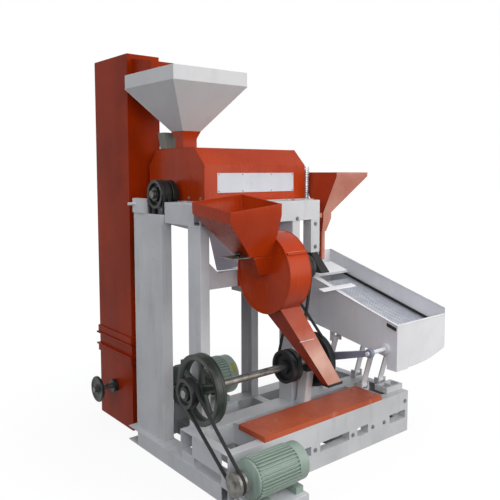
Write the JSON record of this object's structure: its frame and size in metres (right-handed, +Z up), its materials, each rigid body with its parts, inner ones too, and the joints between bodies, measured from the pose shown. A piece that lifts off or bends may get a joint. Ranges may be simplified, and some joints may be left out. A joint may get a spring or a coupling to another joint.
{
  "type": "combined dal mill",
  "caption": "Combined pulse mill on a channel-iron frame: hooded emery roller, burr mill with chute, bucket elevator, hoppers, rocking sieve, belt-driven countershaft and motors.",
  "frame": {"origin": "on the floor, under the middle of the bounding box", "axes": "+Z up, +X towards the sieve, +Y towards the bucket elevator"},
  "size_m": [1.34, 1.691, 2],
  "materials": {
    "orange_paint": "semi-gloss orange-red enamel",
    "white_paint": "matt white-grey enamel, worn",
    "grey_sheet": "satin lavender-grey paint",
    "green_paint": "dark green enamel on cast iron",
    "motor_green": "satin grey-green enamel",
    "black_rubber": "dull",
    "bright_steel": "turned",
    "plain_steel": "rolled",
    "black_iron": "black enamel",
    "emery_stone": "coarse grit",
    "black_plastic": "moulded"
  },
  "bodies": {
    "main_frame": {"base_frame": "white_paint", "belt_guard": "white_paint", "bucket_belt": "black_rubber", "collecting_hopper": "grey_sheet", "countershaft_bearings": "green_paint", "countershaft_belts": "black_rubber", "dust_spout": "grey_sheet", "elevator_bearings": "black_iron", "elevator_casing": "orange_paint", "fan_casing": "white_paint", "feed_hopper": "white_paint", "fixed_stone": "emery_stone", "front_motor_housing": "motor_green", "front_plank": "orange_paint", "front_posts": "white_paint", "grading_hopper": "orange_paint", "head_gear_motor": "motor_green", "hood_panel": "white_paint", "main_belts": "black_rubber", "main_motor_housing": "motor_green", "mid_front_rail": "white_paint", "mill_bearing": "black_iron", "mill_casing": "orange_paint", "mill_chute": "orange_paint", "mill_cover": "orange_paint", "mill_hopper": "orange_paint", "motor_beds": "white_paint", "rear_posts": "white_paint", "ribbed_hose": "bright_steel", "roller_bearings": "black_iron", "roller_deck": "white_paint", "roller_hood": "orange_paint", "rubber_buffer": "black_rubber", "socket_box": "white_paint", "tension_block": "white_paint", "top_frame": "white_paint"},
    "roller_shaft": {"main_shaft": "bright_steel", "emery_roller": "emery_stone", "main_pulley": "green_paint", "end_pulley": "plain_steel"},
    "main_rotor": {"main_motor_rotor": "bright_steel"},
    "lower_shaft": {"countershaft": "bright_steel", "flywheel_pulley": "green_paint", "input_pulley": "black_iron", "mill_drive_pulley": "black_iron", "fan_drive_pulley": "black_iron"},
    "front_rotor": {"front_motor_rotor": "bright_steel"},
    "mill_rotor": {"mill_shaft": "bright_steel", "turning_stone": "emery_stone"},
    "fan_rotor": {"fan_impeller": "plain_steel"},
    "elevator_head": {"head_shaft": "bright_steel"},
    "elevator_boot": {"boot_shaft": "bright_steel", "boot_handwheel": "black_iron"},
    "feed_gate": {"gate_plate": "plain_steel", "gate_knob": "black_plastic"},
    "front_springs": {"front_spring_bars": "plain_steel"},
    "rear_springs": {"rear_spring_bars": "plain_steel"},
    "sieve": {"sieve_tray": "white_paint", "sieve_screen": "plain_steel"},
    "drive_rod": {"connecting_rod": "plain_steel"}
  },
  "joints": [
    {"name": "roller_spin", "type": "hinge", "parent": "main_frame", "child": "roller_shaft", "pos_m": [-0.124, 0.0495, 1.285], "axis": [1, 0, 0], "continuous": true},
    {"name": "main_motor_spin", "type": "hinge", "parent": "main_frame", "child": "main_rotor", "pos_m": [-0.224, 0.0495, 0.307], "axis": [1, 0, 0], "continuous": true},
    {"name": "lower_shaft_spin", "type": "hinge", "parent": "main_frame", "child": "lower_shaft", "pos_m": [-0.224, -0.4055, 0.453], "axis": [1, 0, 0], "continuous": true},
    {"name": "front_motor_spin", "type": "hinge", "parent": "main_frame", "child": "front_rotor", "pos_m": [-0.464, -0.7505, 0.19], "axis": [1, 0, 0], "continuous": true},
    {"name": "mill_spin", "type": "hinge", "parent": "main_frame", "child": "mill_rotor", "pos_m": [-0.174, -0.5205, 0.951], "axis": [1, 0, 0], "continuous": true},
    {"name": "fan_spin", "type": "hinge", "parent": "main_frame", "child": "fan_rotor", "pos_m": [0.056, -0.1055, 0.85], "axis": [1, 0, 0], "continuous": true},
    {"name": "elevator_head_spin", "type": "hinge", "parent": "main_frame", "child": "elevator_head", "pos_m": [-0.416, 0.535, 1.8], "axis": [1, 0, 0], "continuous": true},
    {"name": "elevator_boot_spin", "type": "hinge", "parent": "main_frame", "child": "elevator_boot", "pos_m": [-0.416, 0.535, 0.205], "axis": [1, 0, 0], "continuous": true},
    {"name": "gate_slide", "type": "slide", "parent": "main_frame", "child": "feed_gate", "axis": [-1, 0, 0], "range_m": [0, 0.09]},
    {"name": "front_spring_swing", "type": "hinge", "parent": "main_frame", "child": "front_springs", "pos_m": [0.476, -0.4405, 0.25], "axis": [1, 0, 0], "range_deg": [-1, 1], "stiffness_Nm_per_rad": 6000},
    {"name": "sieve_level", "type": "hinge", "parent": "front_springs", "child": "sieve", "pos_m": [0.476, -0.5175, 0.512], "axis": [1, 0, 0], "range_deg": [-1, 1]},
    {"name": "rear_spring_swing", "type": "hinge", "parent": "main_frame", "child": "rear_springs", "pos_m": [0.476, -0.2705, 0.25], "axis": [1, 0, 0], "range_deg": [-1, 1]},
    {"name": "drive_rod_pivot", "type": "hinge", "parent": "sieve", "child": "drive_rod", "pos_m": [0.159, -0.7255, 0.545], "axis": [1, 0, 0], "range_deg": [-0.8, 0.8]}
  ],
  "couplings": [
    {"joint": "main_motor_spin", "follows": "roller_spin", "ratio": 1.445},
    {"joint": "front_motor_spin", "follows": "lower_shaft_spin", "ratio": 1.312},
    {"joint": "mill_spin", "follows": "lower_shaft_spin", "ratio": 1.501},
    {"joint": "fan_spin", "follows": "lower_shaft_spin", "ratio": 3.256},
    {"joint": "elevator_boot_spin", "follows": "elevator_head_spin", "ratio": 1},
    {"joint": "sieve_level", "follows": "front_spring_swing", "ratio": -1},
    {"joint": "rear_spring_swing", "follows": "front_spring_swing", "ratio": 1}
  ]
}
